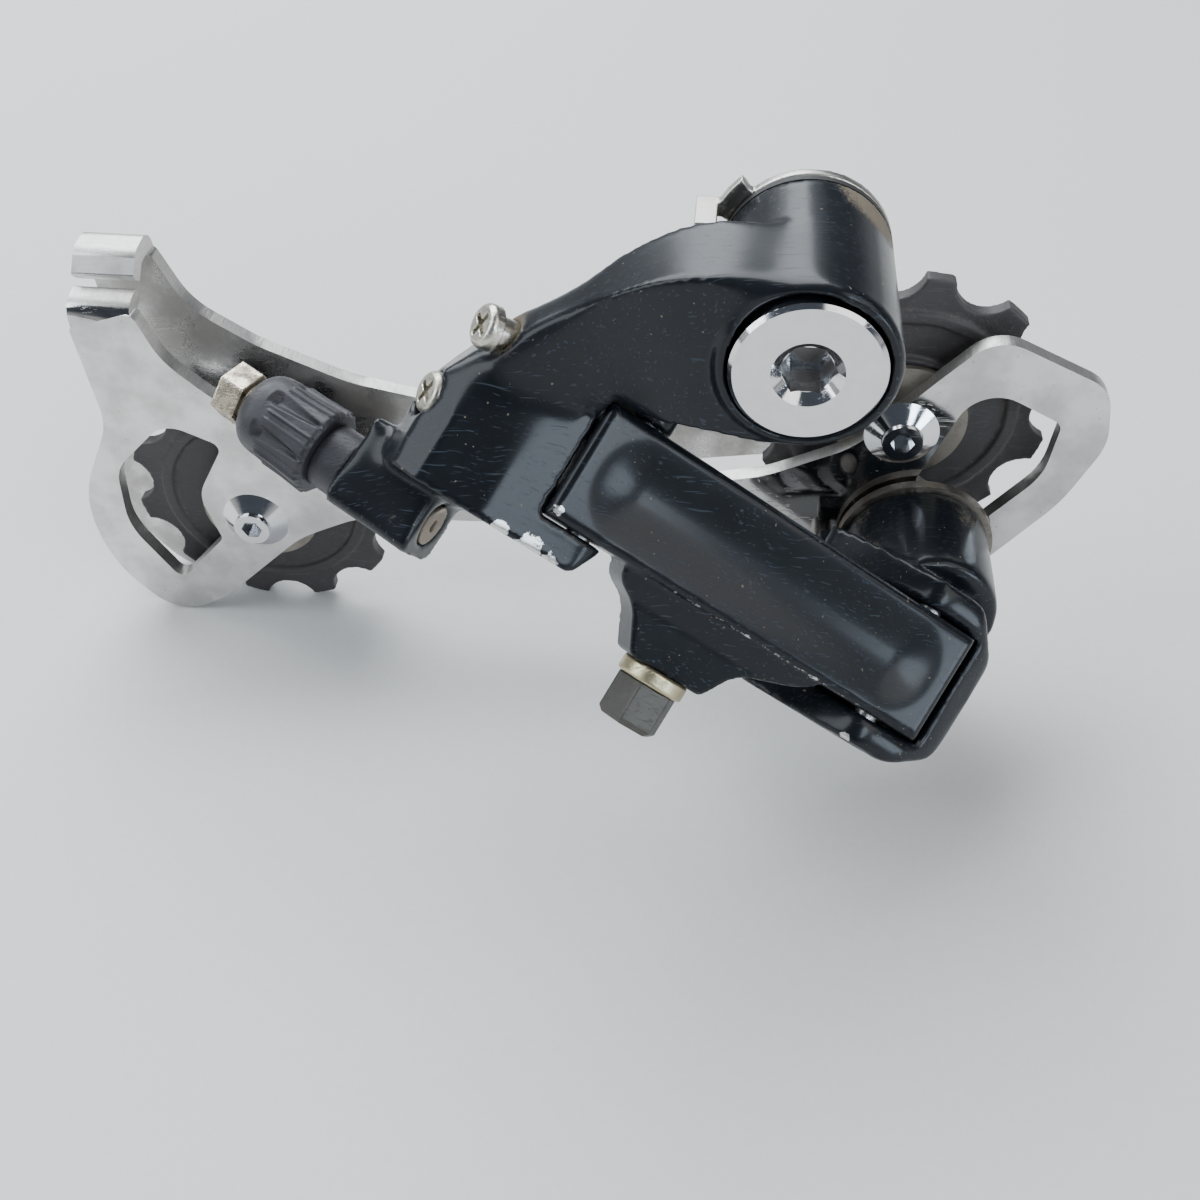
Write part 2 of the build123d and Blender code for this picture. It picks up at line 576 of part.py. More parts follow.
with BuildPart() as p_axle:
    rod_y(P_AXLE_R, P_FRONT + 0.6, OUTER_FACE, (P_X, P_Z))
    rod_y(P_AXLE_R - 1, OUTER_FACE, OUTER_FACE + PLATE, (P_X, P_Z))
    rod_y(P_AXLE_R + 1, OUTER_FACE + PLATE, OUTER_FACE + PLATE + 0.8, (P_X, P_Z))
save(p_axle, "p_axle")

with BuildPart() as cage_stop_pin:
    rod_y(1.5, -2.2, OUTER_FACE, (P_X - 13.8, P_Z - 1.95))
save(cage_stop_pin, "cage_stop_pin")

PULLEYS = {"guide": (GUIDE, GUIDE_TURN), "tension": (TENSION, TENSION_TURN)}
for name, (centre, turn) in PULLEYS.items():
    seat = Plane.XZ.offset(-PULLEY_Y).shift_origin((centre[0], PULLEY_Y, centre[1]))
    with BuildPart() as pulley:
        with BuildSketch(seat):
            Circle(TIP_R)
            with PolarLocations(23.6, TEETH, start_angle=90 - turn - 180 / TEETH):
                Circle(4.6, mode=Mode.SUBTRACT)
        extrude(amount=TOOTH_THICK / 2, both=True)
        # Raised ring on both faces of the web
        with BuildSketch(seat):
            Circle(WEB_RING_R)
            Circle(WEB_RING_R - 1.6, mode=Mode.SUBTRACT)
        extrude(amount=TOOTH_THICK / 2 + 0.6, both=True)
        rod_y(HUB_R + 1.6, PULLEY_Y - 2.2, PULLEY_Y + 2.2, centre)
        rod_y(HUB_R, PULLEY_Y - HUB_THICK / 2, PULLEY_Y + HUB_THICK / 2, centre)
        rod_y(BUSH_R + RUN_FIT, 0, 20, centre, mode=Mode.SUBTRACT)
    save(pulley, f"{name}_pulley")

    with BuildPart() as bush:
        rod_y(BUSH_R, OUTER_FACE + PLATE, INNER_FACE, centre)
        rod_y(BOLT_R + RUN_FIT, 0, 20, centre, mode=Mode.SUBTRACT)
    save(bush, f"{name}_pulley_bush")

    with BuildPart() as caps:
        rod_y(9.6, OUTER_FACE + PLATE, OUTER_FACE + PLATE + 0.8, centre)
        rod_y(9.6, INNER_FACE - 0.8, INNER_FACE, centre)
        rod_y(BUSH_R, 0, 20, centre, mode=Mode.SUBTRACT)
    save(caps, f"{name}_dust_caps")

    with BuildPart() as bolt:
        rod_y(BOLT_R, 0, INNER_FACE + PLATE + 0.4, centre)
        rod_y(2.9, -0.3, OUTER_FACE, centre)
        with Locations(Location((centre[0], OUTER_FACE - 0.8, centre[1]), (90, 0, 0))):
            Cone(5.4, 3.0, 1.6)
        with BuildSketch(Plane.XZ.offset(0.3).shift_origin((centre[0], -0.3, centre[1]))):
            RegularPolygon(1.5, 6, major_radius=False)
        extrude(amount=-2.4, mode=Mode.SUBTRACT)
    save(bolt, f"{name}_pulley_bolt")
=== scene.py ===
import json
import math

import bmesh
import bpy
import numpy as np
from mathutils import Matrix, Vector


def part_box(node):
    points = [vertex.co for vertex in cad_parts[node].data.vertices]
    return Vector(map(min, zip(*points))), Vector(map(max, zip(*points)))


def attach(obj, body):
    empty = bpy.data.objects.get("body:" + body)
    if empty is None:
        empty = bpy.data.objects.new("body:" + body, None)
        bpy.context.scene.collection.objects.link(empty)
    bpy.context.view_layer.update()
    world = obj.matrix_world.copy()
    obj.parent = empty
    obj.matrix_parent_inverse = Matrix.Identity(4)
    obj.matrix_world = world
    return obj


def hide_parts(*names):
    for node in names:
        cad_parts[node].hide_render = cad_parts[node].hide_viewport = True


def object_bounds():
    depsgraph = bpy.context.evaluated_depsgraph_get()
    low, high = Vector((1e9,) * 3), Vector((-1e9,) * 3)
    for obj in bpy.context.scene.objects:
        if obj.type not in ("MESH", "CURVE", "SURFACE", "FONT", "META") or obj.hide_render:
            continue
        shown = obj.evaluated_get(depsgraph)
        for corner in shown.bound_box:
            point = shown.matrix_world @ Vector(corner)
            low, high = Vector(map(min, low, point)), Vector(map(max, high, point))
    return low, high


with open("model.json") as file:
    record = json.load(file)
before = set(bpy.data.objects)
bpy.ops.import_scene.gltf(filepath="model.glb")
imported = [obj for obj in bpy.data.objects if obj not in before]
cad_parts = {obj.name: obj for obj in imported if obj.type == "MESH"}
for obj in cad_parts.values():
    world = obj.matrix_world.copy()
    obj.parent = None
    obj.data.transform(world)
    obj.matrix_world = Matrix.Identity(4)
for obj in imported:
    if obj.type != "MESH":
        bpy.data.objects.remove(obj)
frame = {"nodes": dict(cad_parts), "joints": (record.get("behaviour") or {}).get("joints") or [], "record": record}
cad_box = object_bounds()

# ---------------------------------------------------------------- upper knuckle
# The upper knuckle is an aluminium die casting: a barrel round the hanger bolt, an arm, two ears for
# the links and a boss for the cable adjuster. It is painted gloss black, and the paint is scratched,
# dusty behind and chipped off the lower ear.

MM = 0.001
body_of = {node: body for body, nodes in frame["record"]["behaviour"]["bodies"].items() for node in nodes}
joint_of = {joint["name"]: joint for joint in frame["joints"]}
upper_pin = Vector(joint_of["outer_link_swing"]["pos_m"])
lower_pin = Vector(joint_of["p_knuckle_level"]["pos_m"])
along = (lower_pin - upper_pin).normalized()
across = Vector(joint_of["outer_link_swing"]["axis"])
outward = along.cross(across)


def link_place(s, w, n):
    """A point given in millimetres along the link, along its pins and out of its face."""
    return upper_pin + (along * s + across * w + outward * n) * MM


class Wire:
    """One socket of a material's nodes. Arithmetic on it adds Math nodes, and put() any other node."""

    def __init__(self, socket):
        self.socket = socket
        self.tree = socket.id_data

    def put(self, kind, settings, inputs, out=0):
        node = self.tree.nodes.new(kind)
        for name, setting in settings.items():
            setattr(node, name, setting)
        for name, value in inputs.items():
            if isinstance(value, Wire):
                self.tree.links.new(value.socket, node.inputs[name])
            else:
                node.inputs[name].default_value = value
        return Wire(node.outputs[out])

    def math(self, operation, first, second=0.0):
        return self.put("ShaderNodeMath", {"operation": operation}, {0: first, 1: second})

    def __add__(self, other):
        return self.math("ADD", self, other)

    def __radd__(self, other):
        return self.math("ADD", other, self)

    def __sub__(self, other):
        return self.math("SUBTRACT", self, other)

    def __rsub__(self, other):
        return self.math("SUBTRACT", other, self)

    def __mul__(self, other):
        return self.math("MULTIPLY", self, other)

    def __rmul__(self, other):
        return self.math("MULTIPLY", other, self)

    def size(self):
        return self.math("ABSOLUTE", self)

    def over(self, low, high):
        """0 below low and 1 above high, with a soft step between; high may be the smaller."""
        return self.put(
            "ShaderNodeMapRange",
            {"interpolation_type": "SMOOTHSTEP"},
            {"Value": self, "From Min": low, "From Max": high},
        )

    def greater(self, other):
        return self.math("MAXIMUM", self, other)

    def dot(self, direction):
        product = {"operation": "DOT_PRODUCT"}
        return self.put("ShaderNodeVectorMath", product, {0: self, 1: direction}, "Value")

    def near(self, point, reach):
        """1 at a point, down to 0 at a distance in metres from it."""
        away = self.put("ShaderNodeVectorMath", {"operation": "DISTANCE"}, {0: self, 1: point}, "Value")
        return away.over(reach, reach * 0.35)

    def noise(self, per_metre, detail=3.0, roughness=0.55):
        inputs = {"Vector": self, "Scale": per_metre, "Detail": detail, "Roughness": roughness}
        return self.put("ShaderNodeTexNoise", {}, inputs)

    def tint(self, first, second):
        """A colour between two, by this factor."""
        return self.put("ShaderNodeMix", {"data_type": "RGBA"}, {0: self, 6: first, 7: second}, 2)

    def bump(self, depth, below=None):
        """A relief of this height map, its depth in metres, on top of another relief."""
        inputs = {"Strength": 1.0, "Distance": depth, "Height": self}
        if below is not None:
            inputs["Normal"] = below
        return self.put("ShaderNodeBump", {}, inputs)


def tone(red, green, blue):
    """An opaque colour."""
    return (red, green, blue, 1.0)


def new_finish(name, constants):
    """A new material, its shader, and the wire of the place on the piece."""
    material = bpy.data.materials.new(name)
    material.use_nodes = True
    shader = material.node_tree.nodes["Principled BSDF"]
    for socket, value in constants.items():
        shader.inputs[socket].default_value = value
    coordinates = material.node_tree.nodes.new("ShaderNodeTexCoord")
    return material, shader, Wire(coordinates.outputs["Object"])


def feed(shader, **wires):
    """Link wires to the shader's sockets: Base_Color=wire is the Base Color socket."""
    for name, wire in wires.items():
        wire.tree.links.new(wire.socket, shader.inputs[name.replace("_", " ")])


def scratches(place, rarity=0.69):
    """Fine scuffs in four directions, gently curved: thin long streaks of stretched noise."""
    sway = place.put("ShaderNodeTexNoise", {}, {"Vector": place, "Scale": 90.0, "Detail": 1.0}, "Color")
    bent = place.put(
        "ShaderNodeVectorMath", {"operation": "MULTIPLY_ADD"}, {0: sway, 1: (0.004, 0.004, 0.004), 2: place}
    )
    lines = None
    for turn in (0.3, 1.05, 1.9, 2.65):
        combed = place.put(
            "ShaderNodeMapping",
            {},
            {"Vector": bent, "Rotation": (turn * 0.7, 0.5 + turn * 0.3, turn), "Scale": (150, 5200, 1500)},
        )
        streak = combed.noise(1.0, 1.0).over(rarity, rarity + 0.05)
        lines = streak if lines is None else lines.greater(streak)
    return lines


def curvature(place):
    """The piece's own curvature, positive on its edges and negative in its corners."""
    return place.put("ShaderNodeAttribute", {"attribute_name": "curvature"}, {}, "Fac")


def near_any(place, spots, share):
    """Wires that rise towards each spot, a point and its reach in millimetres."""
    return [place.near(point, reach * MM) * share for point, reach in spots]


def black_paint(name, chips, bare_line=None, dusty=()):
    """Gloss black paint on cast metal, bare at the chips and brown at the dusty spots."""
    material, shader, place = new_finish(
        name, {"IOR": 1.45, "Specular IOR Level": 0.16, "Coat Roughness": 0.17, "Coat IOR": 1.42}
    )
    bend = curvature(place)
    cloud = place.noise(170.0, 4.0)
    grain = place.noise(2600.0, 3.0)
    scuff = scratches(place)
    fleck = place.noise(1500.0, 1.0).over(0.76, 0.78)
    # Brown dust settles in the corners and round the inboard end of the barrels
    inboard = place.dot((0, 1, 0)).over(-0.014, -0.002)
    grime = (grain * 0.45 + cloud * 0.55 + bend * -1.2 + inboard * 0.10).over(0.62, 0.82)
    for closeness in near_any(place, dusty, 0.55):
        grime = grime.greater((closeness + grain * 0.5 + cloud * 0.3).over(0.62, 0.95))
    # Paint is rubbed off the sharpest edges and knocked off at the chips
    bare = (bend * 1.5 + grain * 0.35 + cloud * 0.55).over(0.93, 0.99)
    ragged = place.noise(900.0, 5.0, 0.7)
    for closeness in near_any(place, chips, 0.42):
        bare = bare.greater((closeness + ragged * 0.75).over(0.64, 0.67))
    if bare_line is not None:
        bare = bare.greater(bare_line(place, ragged))
    paint = (scuff * 0.30 + cloud * 0.06).tint(tone(0.004, 0.005, 0.007), tone(0.085, 0.11, 0.14))
    soiled = (grime * 0.8).greater(fleck * 0.75).tint(paint, tone(0.21, 0.175, 0.13))
    metal_tone = grain.tint(tone(0.50, 0.49, 0.47), tone(0.86, 0.85, 0.83))
    feed(
        shader,
        Base_Color=bare.tint(soiled, metal_tone),
        Metallic=bare * (1 - grime * 0.6),
        Roughness=0.30 + scuff * 0.20 + cloud * 0.12 + grime * 0.40,
        Coat_Weight=(1 - grime.greater(bare).greater(fleck)) * (0.42 - scuff * 0.25),
        Normal=(scuff * -0.10 + bare * -0.6 + grime * 0.5 + grain * 0.12).bump(0.00004),
    )
    return material


def even_mesh(node, voxel):
    """A node's shape in small even faces, as a new mesh."""
    shell = bpy.data.meshes.new("shell")
    loose = bmesh.new()
    loose.from_mesh(frame["nodes"][node].data)
    bmesh.ops.remove_doubles(loose, verts=loose.verts, dist=1e-6)
    loose.to_mesh(shell)
    loose.free()
    piece = bpy.data.objects.new(node + "_shell", shell)
    bpy.context.scene.collection.objects.link(piece)
    remesh = piece.modifiers.new("even_faces", "REMESH")
    remesh.mode = "VOXEL"
    remesh.voxel_size = voxel * MM
    remesh.use_smooth_shade = True
    even = bpy.data.meshes.new_from_object(piece.evaluated_get(bpy.context.evaluated_depsgraph_get()))
    piece.modifiers.clear()
    piece.data = even
    bpy.data.meshes.remove(shell)
    even.materials.clear()
    return piece


def read_points(mesh):
    """A mesh's points, and the two ends of each edge."""
    points = np.empty(len(mesh.vertices) * 3)
    mesh.vertices.foreach_get("co", points)
    ends = np.empty(len(mesh.edges) * 2, int)
    mesh.edges.foreach_get("vertices", ends)
    return points.reshape(-1, 3), ends.reshape(-1, 2)


def towards_neighbours(points, ends):
    """The step from each vertex to the middle of its neighbours."""
    count = np.bincount(ends.ravel(), minlength=len(points))[:, None]
    middle = np.empty_like(points)
    for column in range(points.shape[1]):
        first = np.bincount(ends[:, 0], points[ends[:, 1], column], len(points))
        second = np.bincount(ends[:, 1], points[ends[:, 0], column], len(points))
        middle[:, column] = first + second
    return middle / np.maximum(count, 1) - points


def relax(points, ends, passes, weight=1.0, hold=True):
    """Smooth a mesh's points; with hold, every other step swells it back to its size."""
    for step in range(passes):
        points = points + 0.5 * weight * towards_neighbours(points, ends)
        if hold:
            points = points - 0.52 * weight * towards_neighbours(points, ends)
    return points


def write_points(mesh, points, ends, voxel):
    """Store the points, and the curvature that the finishes read."""
    mesh.vertices.foreach_set("co", points.ravel())
    mesh.update()
    normals = np.empty(len(points) * 3)
    mesh.vertices.foreach_get("normal", normals)
    bend = -(towards_neighbours(points, ends) * normals.reshape(-1, 3)).sum(1) / (voxel * MM)
    field = relax(bend[:, None], ends, 2, hold=False)
    mesh.attributes.new("curvature", "FLOAT", "POINT").data.foreach_set("value", field[:, 0])


def soften_round(points, ends, spot, reach, strength, passes):
    """Round off the shape near a spot, given in metres; its reach is in millimetres."""
    distance = np.linalg.norm(points - np.array(spot), axis=1) / MM
    soft = np.clip(strength * (1 - distance / reach), 0, 1)
    return relax(points, ends, passes, soft[:, None], hold=False)


def dress(piece, node, material, name):
    """The piece stands for its node, on the node's body and with its slot."""
    piece.name = name
    piece.data.name = name
    piece.data.materials.append(material)
    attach(piece, body_of[node])
    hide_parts(node)


knuckle_voxel = 0.42
knuckle = even_mesh("b_knuckle", knuckle_voxel)
points, ends = read_points(knuckle.data)
points = relax(points, ends, 22)
# The arm flows into the face beside the link in one soft bend
bend_reach = 12
clear_of_link = 8.5
bend_middle = np.array(link_place(-13, 9, 2))
distance = np.linalg.norm(points - bend_middle, axis=1) / MM
along_link = (points - np.array(upper_pin)) @ np.array(along) / MM
soft = np.clip(1.3 - distance / bend_reach, 0, 1) * np.clip((-clear_of_link - along_link) / 2, 0, 1)
points = relax(points, ends, 150, soft[:, None], hold=False)
# The top of the arm, its joint with the barrel and the root of the adjuster's boss are soft too
soft_spots = (
    ((-16.5, -20.0, 9.5), 9.0, 8),
    ((-4.0, -21.0, 9.0), 10.0, 60),
    ((-4.0, -29.0, 9.0), 7.0, 40),
    ((-49.5, -23.0, -24.0), 9.5, 90),
)
for spot, reach, passes in soft_spots:
    points = soften_round(points, ends, np.array(spot) * MM, reach, 1.4, passes)
write_points(knuckle.data, points, ends, knuckle_voxel)
lower_ear = link_place(-5.5, -13, 2.5)
screw_seats = [sum(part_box(node), Vector()) / 2 for node in ("low_limit_screw", "high_limit_screw")]
knuckle_paint = black_paint(
    "knuckle_black_paint",
    [(lower_ear, 3.4), (link_place(-10, -13, 3.4), 2.0), (link_place(-2.5, -13, 2.5), 2.4)],
    dusty=[(screw_seat, 5.5) for screw_seat in screw_seats] + [(Vector((8, -3, 8)) * MM, 9.0)],
)
dress(knuckle, "b_knuckle", knuckle_paint, "upper_knuckle_casting")

# ---------------------------------------------------------------- hanger bolt and stop plate
# The hanger bolt is turned steel with a wide head, polished and chromed, and a hexagon socket that
# is grey with old grease. A snap ring holds it in, and the zinc-plated stop plate rests on the hanger.


def metal(name, bright, roughness, grime_tone, grime, scuffed=0.4, pitted=0.3, sockets=()):
    """A bare or plated metal with cloudy wear, scuffs, and dried grease in patches and sockets."""
    material, shader, place = new_finish(name, {"IOR": 2.2})
    cloud = place.noise(420.0, 5.0, 0.6)
    grain = place.noise(5200.0, 3.0)
    scuff = scratches(place, 0.66)
    dirt = (cloud * 0.65 + grain * 0.35 + grime).over(0.66, 0.86)
    for closeness in near_any(place, sockets, 0.7):
        dirt = dirt.greater((closeness + cloud * 0.5).over(0.45, 0.75) * 0.9)
    fresh = (cloud * 0.6 + grain * 0.2).tint(bright, tuple(0.62 * part for part in bright[:3]) + (1.0,))
    feed(
        shader,
        Base_Color=(dirt * 0.85).tint(fresh, grime_tone),
        Metallic=1 - dirt * 0.75,
        Roughness=roughness + scuff * 0.2 * scuffed + cloud * 0.14 + dirt * 0.35,
        Normal=(scuff * -0.3 * scuffed + grain * 0.4 * pitted + dirt * 0.6).bump(0.00003),
    )
    return material


def smoothed(node, voxel, passes):
    """A node's shape as a finely divided and smoothed new piece."""
    piece = even_mesh(node, voxel)
    points, ends = read_points(piece.data)
    write_points(piece.data, relax(points, ends, passes), ends, voxel)
    return piece


def finish_nodes(material, *nodes):
    """Give CAD nodes whose shape is right their finish."""
    for node in nodes:
        piece = frame["nodes"][node]
        if not piece.material_slots:
            piece.data.materials.append(material)
        for place in piece.material_slots:
            place.material = material


head_low, head_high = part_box("mounting_bolt")
key_depth = 4.2
key_socket = (head_low + head_high) / 2
key_socket.y = head_low.y + key_depth * MM
old_grease = tone(0.12, 0.10, 0.085)
bolt_chrome = metal(
    "bolt_chrome", tone(0.80, 0.80, 0.82), 0.03, old_grease, -0.10, 0.25, 0.03, [(key_socket, 5.2)]
)
zinc = metal("dusty_zinc", tone(0.62, 0.60, 0.55), 0.26, tone(0.26, 0.22, 0.16), 0.10, 1.0, 1.0)
finish_nodes(bolt_chrome, "mounting_bolt")
finish_nodes(zinc, "b_snap_ring")

dress(smoothed("b_stop_plate", 0.22, 3), "b_stop_plate", zinc, "stop_plate_pressing")

# ---------------------------------------------------------------- inside the upper knuckle
# A sintered bronze bush and a rubber seal carry the barrel on the bolt, round an oiled steel spring.
# The link pins are ground steel, pressed into the ears, with their ends left bare.

bronze = metal("sintered_bronze", tone(0.58, 0.40, 0.22), 0.34, tone(0.10, 0.07, 0.04), 0.06, 0.6, 1.0)
spring_steel = metal("oiled_spring_steel", tone(0.36, 0.36, 0.38), 0.24, tone(0.06, 0.05, 0.04), 0.10)
pin_steel = metal("ground_pin_steel", tone(0.42, 0.41, 0.40), 0.28, tone(0.10, 0.08, 0.06), 0.14, 1.0, 0.8)
finish_nodes(bronze, "b_bushing", "outer_link_bushes", "p_bushing")
finish_nodes(spring_steel, "b_spring", "p_spring", "return_spring")
finish_nodes(pin_steel, "upper_outer_pin", "upper_inner_pin", "lower_outer_pin", "lower_inner_pin")


def moulded(name, dark, light, roughness, dust, dust_tone):
    """A moulded resin or rubber: fine grain, soft shine, and dust rubbed into it."""
    material, shader, place = new_finish(name, {"IOR": 1.48})
    bend = curvature(place)
    cloud = place.noise(260.0, 5.0, 0.6)
    grain = place.noise(3800.0, 4.0, 0.65)
    scuff = scratches(place, 0.67)
    powder = (cloud * 0.55 + grain * 0.45 + bend * -1.2 + dust).over(0.58, 0.86)
    body = (cloud * 0.5 + grain * 0.3 + scuff * 0.25).tint(dark, light)
    feed(
        shader,
        Base_Color=(powder * 0.85).tint(body, dust_tone),
        Roughness=roughness + cloud * 0.12 + powder * 0.25 + scuff * 0.08,
        Normal=(grain * 0.8 + scuff * -0.4 + powder * 0.5).bump(0.00005),
    )
    return material


seal_rubber = moulded(
    "seal_rubber", tone(0.012, 0.012, 0.012), tone(0.04, 0.038, 0.035), 0.5, 0.02, tone(0.16, 0.13, 0.1)
)
finish_nodes(seal_rubber, "b_dust_seal")

# ---------------------------------------------------------------- limit screws
# Three pan-head machine screws, zinc plated, with cross slots full of dry dirt: two set the stroke of
# the links, and one sets the knuckle's angle on the stop plate.

screw_zinc = metal("dirty_screw_zinc", tone(0.66, 0.63, 0.55), 0.22, tone(0.30, 0.26, 0.17), 0.12, 1.0, 1.2)
for node in ("low_limit_screw", "high_limit_screw", "b_tension_screw"):
    dress(smoothed(node, 0.13, 3), node, screw_zinc, node + "_turned")

# ---------------------------------------------------------------- cable adjuster
# The adjuster is a nickel-plated barrel with a hexagon end for the cable housing. On it turns a soft
# dark resin knob, flared towards its foot, with pairs of thin ribs and hollows between them.

barrel_low, barrel_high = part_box("adjuster_barrel")
inner_end = Vector((barrel_high.x, barrel_low.y, barrel_low.z))
nickel = metal(
    "worn_nickel", tone(0.66, 0.58, 0.45), 0.20, tone(0.10, 0.06, 0.03), 0.20, 0.8, 1.0, [(inner_end, 9.0)]
)
dress(smoothed("adjuster_barrel", 0.18, 3), "adjuster_barrel", nickel, "adjuster_barrel_turned")

knob_resin = moulded(
    "knob_resin", tone(0.010, 0.010, 0.013), tone(0.038, 0.036, 0.044), 0.36, -0.16, tone(0.12, 0.11, 0.10)
)
dress(smoothed("adjuster_collar", 0.2, 5), "adjuster_collar", knob_resin, "adjuster_neck_moulding")

adjuster_axis = Vector(joint_of["adjuster_turn"]["axis"])
knob_low, knob_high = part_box("adjuster_knob")
knob_middle = (knob_low + knob_high) / 2
turn_point = Vector(joint_of["adjuster_turn"]["pos_m"])
knob_centre = turn_point + adjuster_axis * (knob_middle - turn_point).dot(adjuster_axis)
knob_length = 12.2
knob_foot_r = 6.2
knob_mouth_r = 5.3
knob_bore_r = 3.05
rib_pairs = 7
rib_height = 0.34
hollow_depth = 0.75


def bump_at(value, middle, half_width):
    """A smooth bump: 1 at the middle, 0 beyond the half width."""
    return np.clip(1 - ((value - middle) / half_width) ** 2, 0, 1) ** 2


# The knob's side: run goes from 0 at its foot to 1 at its mouth, and turn goes round its axis
rounds, rings = 336, 84
turn, run = np.meshgrid(np.linspace(0, math.tau, rounds, False), np.linspace(0, 1, rings), indexing="ij")
height = (run - 0.5) * knob_length
flare = knob_mouth_r + (knob_foot_r - knob_mouth_r) * (1 - run) ** 0.75
shoulder = 0.95 * np.clip((run - 0.80) / 0.20, 0, 1) ** 2.8 + 0.45 * np.clip((0.07 - run) / 0.07, 0, 1) ** 2
swell = 0.2 * bump_at(run, 0.72, 0.4)
# Each sector has a pair of ribs at its middle, and a V-shaped hollow between it and the next
sector = math.tau / rib_pairs
within = (turn + sector / 2) % sector - sector / 2
rib_run = np.clip(run / 0.05, 0, 1) * np.clip((0.66 - run) / 0.04, 0, 1)
ribs = rib_height * rib_run * (bump_at(within, -0.095, 0.05) + bump_at(within, 0.095, 0.05))
apart = np.abs(np.abs(within) - sector / 2)
hollow_width = 0.05 + 0.26 * run
hollow_run = np.clip(run / 0.12, 0, 1) * np.clip((0.74 - run) / 0.12, 0, 1)
hollows = hollow_depth * hollow_run * np.clip(1 - (apart / hollow_width) ** 2, 0, 1)
radius = flare - shoulder + swell + ribs - hollows
side = across.cross(adjuster_axis).normalized()
up = adjuster_axis.cross(side)
knob_shape = bmesh.new()


def ring_of_points(radii, heights, turns):
    """A ring of vertices round the adjuster's axis."""
    ring = []
    for r, h, t in zip(radii, heights, turns):
        sideways = side * (r * math.cos(t)) + up * (r * math.sin(t))
        ring.append(knob_shape.verts.new(knob_centre + (sideways + adjuster_axis * h) * MM))
    return ring


around = turn[:, 0]
knob_rings = [ring_of_points(radius[:, k], height[:, k], around) for k in range(rings)]
# The mouth and the foot are closed down to the bore
mouth_steps = ((0.55, 0.16), (0.2, 0.2), (0.0, 0.0), (0.0, -0.5))
for share, lift in mouth_steps:
    edge = knob_bore_r + (radius[:, -1] - knob_bore_r) * share
    knob_rings.append(ring_of_points(edge, height[:, -1] + lift, around))
foot_steps = ((0.0, 0.5), (0.0, 0.0), (0.3, -0.02), (0.9, 0.0))
for share, lift in foot_steps:
    edge = knob_bore_r + (radius[:, 0] - knob_bore_r) * share
    knob_rings.append(ring_of_points(edge, height[:, 0] + lift, around))
for first, second in zip(knob_rings, knob_rings[1:] + knob_rings[:1]):
    for k in range(rounds):
        after = (k + 1) % rounds
        knob_shape.faces.new((first[k], first[after], second[after], second[k]))
bmesh.ops.recalc_face_normals(knob_shape, faces=knob_shape.faces)
knob_mesh = bpy.data.meshes.new("adjuster_knob_moulding")
knob_shape.to_mesh(knob_mesh)
knob_shape.free()
for face in knob_mesh.polygons:
    face.use_smooth = True
knob = bpy.data.objects.new("adjuster_knob_moulding", knob_mesh)
bpy.context.scene.collection.objects.link(knob)
points, ends = read_points(knob_mesh)
write_points(knob_mesh, points, ends, 0.2)
dress(knob, "adjuster_knob", knob_resin, "adjuster_knob_moulding")

# ---------------------------------------------------------------- outer link
# The outer link is a forging with a shallow dished face, painted gloss black like the knuckles. Its
# lower edge is rubbed to bare metal, and a tab below carries the cable clamp.

link_voxel = 0.34
link_length = (lower_pin - upper_pin).length / MM
link_overhang = 6.25
link_half = 8.25
face_foot = 3.2
dish_depth = 0.9
dish_corner = 7.6
end_rim = 2.2
side_rim = 0.2


def worn_lower_edge(place, ragged):
    """Bare metal along the face's lower edge."""
    n = place.dot(outward) - upper_pin.dot(outward)
    w = place.dot(across) - upper_pin.dot(across)
    s = place.dot(along) - upper_pin.dot(along)
    at_edge = (w + link_half * MM).over(0.0011, 0.0002) * n.over(0.0030, 0.0044)
    stretch = s.over(0.008, 0.014) * s.over(0.052, 0.044)
    return (at_edge * stretch * 0.5 + ragged * 0.6).over(0.80, 0.88)


link = even_mesh("outer_link", link_voxel)
points, ends = read_points(link.data)
points = relax(points, ends, 9)
local = (points - np.array(upper_pin)) / MM
s, w, n = (local @ np.array(direction) for direction in (along, across, outward))
end_gap = np.minimum(s, link_length - s) + link_overhang
side_gap = link_half - np.abs(w)
# The dish has rounded corners, and deepens softly from its rim
inset_end = np.maximum(dish_corner - (end_gap - end_rim), 0)
inset_side = np.maximum(dish_corner - (side_gap - side_rim), 0)
ramp = np.clip(1 - np.hypot(inset_end, inset_side) / dish_corner, 0, 1)
ramp = ramp * ramp * (3 - 2 * ramp)
on_face = np.clip((n - face_foot) / 1.4, 0, 1) * (side_gap > 0)
points = points - np.outer(dish_depth * MM * ramp * on_face, np.array(outward))
points = relax(points, ends, 4)
write_points(link.data, points, ends, link_voxel)
link_paint = black_paint("link_black_paint", [(link_place(-5, -7, 4.5), 1.3)], worn_lower_edge)
dress(link, "outer_link", link_paint, "outer_link_forging")

# ---------------------------------------------------------------- cable clamp
# A black-oxide hexagon bolt with a yellow zinc washer clamps the cable on the link's tab. Both are
# dull with dry road dirt.

oxide = metal("dusty_black_oxide", tone(0.12, 0.115, 0.105), 0.42, tone(0.13, 0.11, 0.085), 0.06, 0.8, 1.8)
yellow_zinc = metal("yellow_zinc", tone(0.62, 0.55, 0.36), 0.28, tone(0.20, 0.17, 0.11), 0.08, 1.0, 1.4)
for node, material in (("cable_clamp_bolt", oxide), ("cable_clamp_washer", yellow_zinc)):
    dress(smoothed(node, 0.17, 5), node, material, node + "_turned")

# ---------------------------------------------------------------- inner link and lower knuckle
# The inner link is pressed steel under satin paint. The lower knuckle is the second painted casting;
# its barrel holds the cage's spring, under a pressed cover that is brown with old grease.

